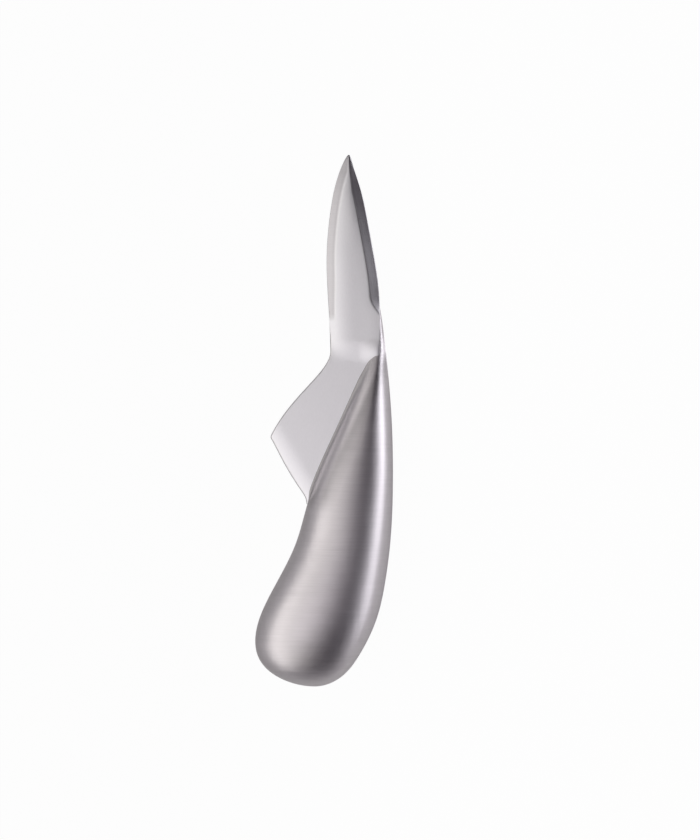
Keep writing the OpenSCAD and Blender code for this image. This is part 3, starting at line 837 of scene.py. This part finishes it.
# %% A wire between nodes
class Wire:
    """One output of a node. Arithmetic on wires adds Math nodes, and make() adds any other node."""

    def __init__(self, tree, socket=None):
        self.tree, self.socket = tree, socket

    def make(self, kind, settings, sockets, out=0):
        """Adds a node: its settings first, then a value or a wire for each socket."""
        node = self.tree.nodes.new("ShaderNode" + kind)
        for key, value in settings.items():
            setattr(node, key, value)
        for key, value in sockets.items():
            if isinstance(value, Wire):
                self.tree.links.new(value.socket, node.inputs[key])
            else:
                node.inputs[key].default_value = value
        return Wire(self.tree, node.outputs[out])

    def maths(self, operation, a, b):
        """A Math node on two values or wires."""
        return self.make("Math", {"operation": operation}, {0: a, 1: b})

    def __add__(self, other):
        return self.maths("ADD", self, other)

    def __sub__(self, other):
        return self.maths("SUBTRACT", self, other)

    def __rsub__(self, other):
        return self.maths("SUBTRACT", other, self)

    def __mul__(self, other):
        return self.maths("MULTIPLY", self, other)

    __radd__ = __add__
    __rmul__ = __mul__

    def between(self, low, high):
        """0 at low, 1 at high, smooth and clamped."""
        settings = {"interpolation_type": "SMOOTHSTEP"}
        return self.make("MapRange", settings, {"Value": self, "From Min": low, "From Max": high})

    def blend(self, a, b):
        """Colour a where this wire is 0 and colour b where it is 1. On a Mix node the sockets 6 and
        7 are the two colours, and output 2 is the mixed one."""
        return self.make("Mix", {"data_type": "RGBA"}, {0: self, 6: a, 7: b}, out=2)

    def bump(self, depth):
        """A normal tilted as if this wire's values were heights, depth metres for a step of 1."""
        return self.make("Bump", {}, {"Height": self, "Strength": 1.0, "Distance": depth})


# %% Helpers that every material uses
def noise(tree, waves, detail, roughness):
    """Noise on the piece's own coordinates, with so many waves in a metre along x, y and z."""
    start = Wire(tree)
    place = start.make("TexCoord", {}, {}, out=3)
    mapped = start.make("Mapping", {}, {"Vector": place, "Scale": waves})
    settings = {"Vector": mapped, "Scale": 1.0, "Detail": detail, "Roughness": roughness}
    return start.make("TexNoise", {}, settings)


def point_mark(tree, name):
    """The number that each point of the mesh carries under this name."""
    return Wire(tree).make("Attribute", {"attribute_name": name}, {}, out=2)


def shaded(tint, shares):
    """A colour of which these shares are left, at most 1, with its alpha."""
    return [min(value * share, 1) for value, share in zip(tint, shares)] + [1]


def new_material(name):
    """An empty material and its node tree."""
    material = bpy.data.materials.new(name)
    material.use_nodes = True
    material.node_tree.nodes.clear()
    return material, material.node_tree


def to_output(shader, kind="Material"):
    """Joins a shader to the output node that ends its tree."""
    out = shader.tree.nodes.new("ShaderNodeOutput" + kind)
    shader.tree.links.new(shader.socket, out.inputs["Surface"])


def surface_shader(colour, metallic, roughness, normal):
    """Ends a material: colour, roughness and normal may vary over the piece."""
    sockets = {"Base Color": colour, "Metallic": metallic, "Roughness": roughness, "Normal": normal}
    to_output(colour.make("BsdfPrincipled", {}, sockets))


# %% [markdown]
# ## Brushed steel
#
# The handle is brushed across its length, so its fine lines lie in x and z and change quickly along
# y. The lines are noise stretched along the brush. They tilt the surface a little, which spreads
# the reflections along the handle and leaves them narrow across it, as on the real one.

# %% The handle's cross brushing
SMUDGE_WAVES, SMUDGE, DRIFT = (35, 28, 35), 0.16, 0.15
DRIFT_ROUGH, SMUDGE_ROUGH = 0.08, 0.06
DARKEST, LIGHTEST = [0.40] * 3, [1.60] * 3


def brushed(name, tint, lines, coarse, rough, depth):
    """Steel brushed in one direction. lines and coarse are the waves in a metre of the fine and the
    coarse lines, rough the middle roughness and depth the height of the lines in metres. The mark
    dark is painted shade: where it is set, the steel is made darker, as in the corner beside the
    guard and at the fillet's toe."""
    material, tree = new_material(name)
    fine = noise(tree, lines, 2.0, 0.5)
    wide = noise(tree, coarse, 3.0, 0.6)
    smudge = noise(tree, SMUDGE_WAVES, 3.0, 0.5)
    # The mark dark paints shade into the colour.
    shade = (wide - 0.5) * DRIFT + (smudge - 0.5) * SMUDGE + 0.5 - point_mark(tree, "dark")
    colour = shade.blend(shaded(tint, DARKEST), shaded(tint, LIGHTEST))
    roughness = rough + (wide - 0.5) * DRIFT_ROUGH + (smudge - 0.5) * SMUDGE_ROUGH
    surface_shader(colour, 1.0, roughness, fine.bump(depth))
    print(name, "lines", max(lines), "to the metre")
    return material


# Each finish: colour, fine lines, coarse lines, roughness, height of the lines.
BRUSHED = {
    "handle_brushed_steel": ((0.615, 0.58, 0.605), (60, 9000, 60), (90, 1700, 90), 0.33, 4.0e-5),
    "plug_brushed_steel": ((0.60, 0.57, 0.59), (9000, 60, 60), (1700, 90, 90), 0.33, 3.5e-5),
    "ground_weld_steel": ((0.575, 0.545, 0.565), (900, 900, 3000), (400, 400, 600), 0.33, 1.2e-5),
    "fillet_weld_steel": ((0.42, 0.40, 0.415), (1500, 1500, 1500), (300, 300, 300), 0.38, 1.5e-5),
}
handle_metal, plug_metal, weld_metal, fillet_metal = (
    brushed(name, *finish) for name, finish in BRUSHED.items()
)

# %% [markdown]
# ## Satin on the plate
#
# The blade and the wing have a finer satin with no clear direction. The bevels are ground across
# the edge, and the outermost fraction of a millimetre is polished by use.

# %% The plate's satin
PLATE_TINT, PLATE_ROUGH, PLATE_DEPTH = (0.925, 0.91, 0.94), 0.35, 1.5e-6
SATIN_LIGHT, PAINTED_SHADE_SCALE, DARK_END_SHARES = 0.95, 0.62, (0.40, 0.385, 0.395)
LINE_DRIFT, CLOUD_DRIFT, LINE_ROUGH, CLOUD_ROUGH = 0.15, 0.08, 0.06, 0.05
WORN_MM, WORN_WAVER, WORN_ROUGH = (0.05, 0.45), 0.3, 0.05


def satin(name, tint, rough):
    """Satin steel. The mark bevel changes the grain to lines ground across the edge, the mark dark
    paints shade into the colour by making the steel darker, and near the outline, where edge_mm is
    small, it is worn smoother."""
    material, tree = new_material(name)
    grain = noise(tree, (2600, 900, 2600), 4.0, 0.6)
    ground = noise(tree, (60, 3600, 60), 3.0, 0.6)
    cloud = noise(tree, (60, 45, 60), 3.0, 0.5)
    bevel = point_mark(tree, "bevel")
    from_edge = point_mark(tree, "edge_mm") + (cloud - 0.5) * WORN_WAVER
    worn = 1 - from_edge.between(*WORN_MM)
    line = grain * (1 - bevel) + ground * bevel
    drift = (line - 0.5) * LINE_DRIFT + (cloud - 0.5) * CLOUD_DRIFT
    # Painted shade: the mark dark, scaled, makes the steel darker.
    shade = drift - point_mark(tree, "dark") * PAINTED_SHADE_SCALE + SATIN_LIGHT
    colour = shade.blend(shaded(tint, DARK_END_SHARES), [*tint, 1])
    roughness = rough + (line - 0.5) * LINE_ROUGH + (cloud - 0.5) * CLOUD_ROUGH
    surface_shader(colour, 1.0, roughness - worn * WORN_ROUGH, line.bump(PLATE_DEPTH))
    print(name, "roughness about", rough)
    return material


plate_metal = satin("plate_satin_steel", PLATE_TINT, PLATE_ROUGH)

# %% [markdown]
# ## What can't be seen
#
# Dry sand fills the handle and gives it its balance. It keeps the solid part's own mesh, because
# nobody sees it, and gets grains in two colours of quartz.

# %% The sand's material
GRAIN_WAVES, GRAIN_DEPTH, GRAIN_RANGE = (3500, 3500, 3500), 2e-4, (0.3, 0.7)
SAND_DARK, SAND_LIGHT, SAND_ROUGH = (0.42, 0.33, 0.22, 1), (0.74, 0.64, 0.48, 1), 0.9
sand, tree = new_material("sand_grains")
grains = noise(tree, GRAIN_WAVES, 3.0, 0.7)
sand_colour = grains.between(*GRAIN_RANGE).blend(SAND_DARK, SAND_LIGHT)
surface_shader(sand_colour, 0.0, SAND_ROUGH, grains.bump(GRAIN_DEPTH))
print(sand.name, "waves", max(GRAIN_WAVES), "to the metre")

# %% [markdown]
# A new mesh has no material, and the sand still has the plain one that it came with. Each piece gets
# its finish here. Both shells share one, because they are brushed together after the welding.

# %% Give each piece its finish
finishes = {
    forged_plate: plate_metal,
    handle_front: handle_metal,
    handle_back: handle_metal,
    closing_weld: weld_metal,
    fillet_front: fillet_metal,
    fillet_back: fillet_metal,
    plug: plug_metal,
    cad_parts["sand_filling"]: sand,
}
for piece, material in finishes.items():
    piece.data.materials.clear()
    piece.data.materials.append(material)
    print(piece.name, "<-", material.name)

# %% [markdown]
# ## The photographer's table
#
# The photograph looks straight down on the knife. One pixel is 0.31 mm, and the view's middle lies
# 8 mm to the spine side of the knife's middle. A long lens keeps the outline free of perspective.

# %% Camera
MM_PER_PIXEL, VIEW_H = 0.31, 840
VIEW_X, VIEW_Y, CAMERA_UP, SENSOR, CLIP = 0.00803, 0.0002, 1.2, 36.0, (0.05, 20)
camera_data = bpy.data.cameras.new("camera")
camera_data.sensor_width = SENSOR
camera_data.lens = SENSOR * CAMERA_UP / (VIEW_H * MM_PER_PIXEL / 1000)
camera_data.clip_start, camera_data.clip_end = CLIP
camera = bpy.data.objects.new("camera", camera_data)
camera.location = (VIEW_X, VIEW_Y, HANDLE_T / 2000 + CAMERA_UP)
bpy.context.scene.collection.objects.link(camera)
bpy.context.scene.camera = camera
print("lens", round(camera_data.lens, 1), "mm")

# %% [markdown]
# ## Light
#
# Metal shows what stands round it. A wide soft box on the edge side gives the broad highlight, the
# dark gap beside it gives the dark band, and a narrow strip on the spine side the white line. The
# box is built from panels side by side, each dimmer than the last, so its inner side fades out.

# %% Soft boxes
WARM, COOL, OVERHEAD = (1.0, 0.995, 0.95), (0.985, 1.0, 1.03), (1.0, 0.97, 1.01)

# Each panel: from and to across the knife in degrees, from and to along it in metres, its
# brightness and its colour.
PANELS = {
    "window_far": (-67, -40, -1.7, 0.55, 1.50, WARM),
    "window_mid": (-40, -25, -1.7, 0.7, 1.06, WARM),
    "window_near": (-25, -10, -1.5, 0.8, 0.70, WARM),
    "window_fade": (-10, 5, -1.4, 0.6, 0.38, WARM),
    "window_last": (5, 16, -1.4, 0.3, 0.07, OVERHEAD),
    "overhead": (-24, 8, -0.40, 0.06, 0.58, OVERHEAD),
    "overhead_end": (8, 24, -0.40, 0.02, 0.26, OVERHEAD),
    "fill": (24, 50, -0.30, 0.05, 0.03, OVERHEAD),
    "strip": (57, 80, -0.55, 0.9, 1.45, COOL),
    "strip_end": (60, 85, 0.14, 0.55, 1.6, COOL),
}


def soft_box(name, start, end, start_y, end_y, brightness, colour):
    """An area lamp a metre away that faces the knife. start and end, in degrees towards the spine
    side, say where it hangs, and its width is 2 tan(half their difference). brightness is that of
    its face: the power is brightness * pi * area."""
    data = bpy.data.lights.new(name, "AREA")
    data.shape, data.color = "RECTANGLE", colour
    data.size, data.size_y = 2 * math.tan(math.radians((end - start) / 2)), end_y - start_y
    data.energy = brightness * math.pi * data.size * data.size_y
    lamp = bpy.data.objects.new(name, data)
    angle = math.radians((start + end) / 2)
    lamp.location = (math.sin(angle), (start_y + end_y) / 2, math.cos(angle))
    lamp.rotation_euler = (0, angle, 0)
    lamp.visible_camera = False
    bpy.context.scene.collection.objects.link(lamp)
    print(name, round(data.energy, 1), "W")


for name, panel in PANELS.items():
    soft_box(name, *panel)

# %% [markdown]
# Beyond the lamps the metal shows the room: dark overhead, grey toward the horizon and darker
# behind the butt. The camera itself sees a white backdrop instead, which adds no light.

# %% The room
ZENITH, HORIZON = (0.036, 0.029, 0.039, 1), (0.60, 0.59, 0.60, 1)
BUTT_HORIZON, BACKDROP = (0.27, 0.262, 0.275, 1), (0.978, 0.978, 0.978, 1)
BUTT_RANGE, RISE_RANGE = (-1.0, -0.5), (0.12, 0.5)
world = bpy.data.worlds.new("studio")
bpy.context.scene.world = world
world.use_nodes = True
world.node_tree.nodes.clear()
sky = Wire(world.node_tree)
direction = sky.make("TexCoord", {}, {}, out=0)
toward_tip = sky.make("SeparateXYZ", {}, {0: direction}, out=1)
upward = sky.make("SeparateXYZ", {}, {0: direction}, out=2)
horizon = toward_tip.between(*BUTT_RANGE).blend(BUTT_HORIZON, HORIZON)
room_colour = upward.between(*RISE_RANGE).blend(horizon, ZENITH)
room = sky.make("Background", {}, {"Color": room_colour, "Strength": 1.0})
backdrop = sky.make("Background", {}, {"Color": BACKDROP, "Strength": 1.0})
to_camera = sky.make("LightPath", {}, {}, out=0)
to_output(sky.make("MixShader", {}, {0: to_camera, 1: room, 2: backdrop}), "World")
print("room from", ZENITH[:3], "overhead to", HORIZON[:3], "at the horizon")

# %% [markdown]
# The knife lies on a sheet of white paper. To the camera it glows white and keeps a trace of the
# shadow. What it throws back on the knife is its diffuse colour, painted greyer on the edge side as
# shade.

# %% Floor
FLOOR_HALF, PAPER_RANGE = 6.0, (-0.06, 0.06)
PAPER_SHADED, PAPER_PALE, WHITE = (0.60, 0.60, 0.60, 1), (0.90, 0.90, 0.90, 1), (1, 1, 1, 1)
GLOW_TO_CAMERA, GLOW_TO_METAL = 0.97, 0.1
floor_mesh = bpy.data.meshes.new("floor")
floor_corners = np.array([[-1, -1, 0], [1, -1, 0], [1, 1, 0], [-1, 1, 0]]) * FLOOR_HALF
floor_mesh.from_pydata(floor_corners, [], [[0, 1, 2, 3]])
floor = bpy.data.objects.new("floor", floor_mesh)
bpy.context.scene.collection.objects.link(floor)
paper, tree = new_material("white_paper")
sheet = Wire(tree)
spot = sheet.make("TexCoord", {}, {}, out=3)
# Painted shade: the paper is greyer on the edge side, so the knife's flanks there reflect less.
to_spine = sheet.make("SeparateXYZ", {}, {0: spot}, out=0).between(*PAPER_RANGE)
diffuse = sheet.make("BsdfDiffuse", {}, {"Color": to_spine.blend(PAPER_SHADED, PAPER_PALE)})
glow = sheet.make("Emission", {}, {"Color": WHITE, "Strength": 1.0})
seen = sheet.make("LightPath", {}, {}, out=0) * GLOW_TO_CAMERA
mirrored = sheet.make("LightPath", {}, {}, out=3) * GLOW_TO_METAL
to_output(sheet.make("MixShader", {}, {0: seen + mirrored, 1: diffuse, 2: glow}))
floor_mesh.materials.append(paper)
print("paper", 2 * FLOOR_HALF, "m wide")

# %% [markdown]
# ## The end
#
# The plain view transform shows the colours as they are written.

# %% Colour management and the end
bpy.context.scene.view_settings.view_transform = "Standard"
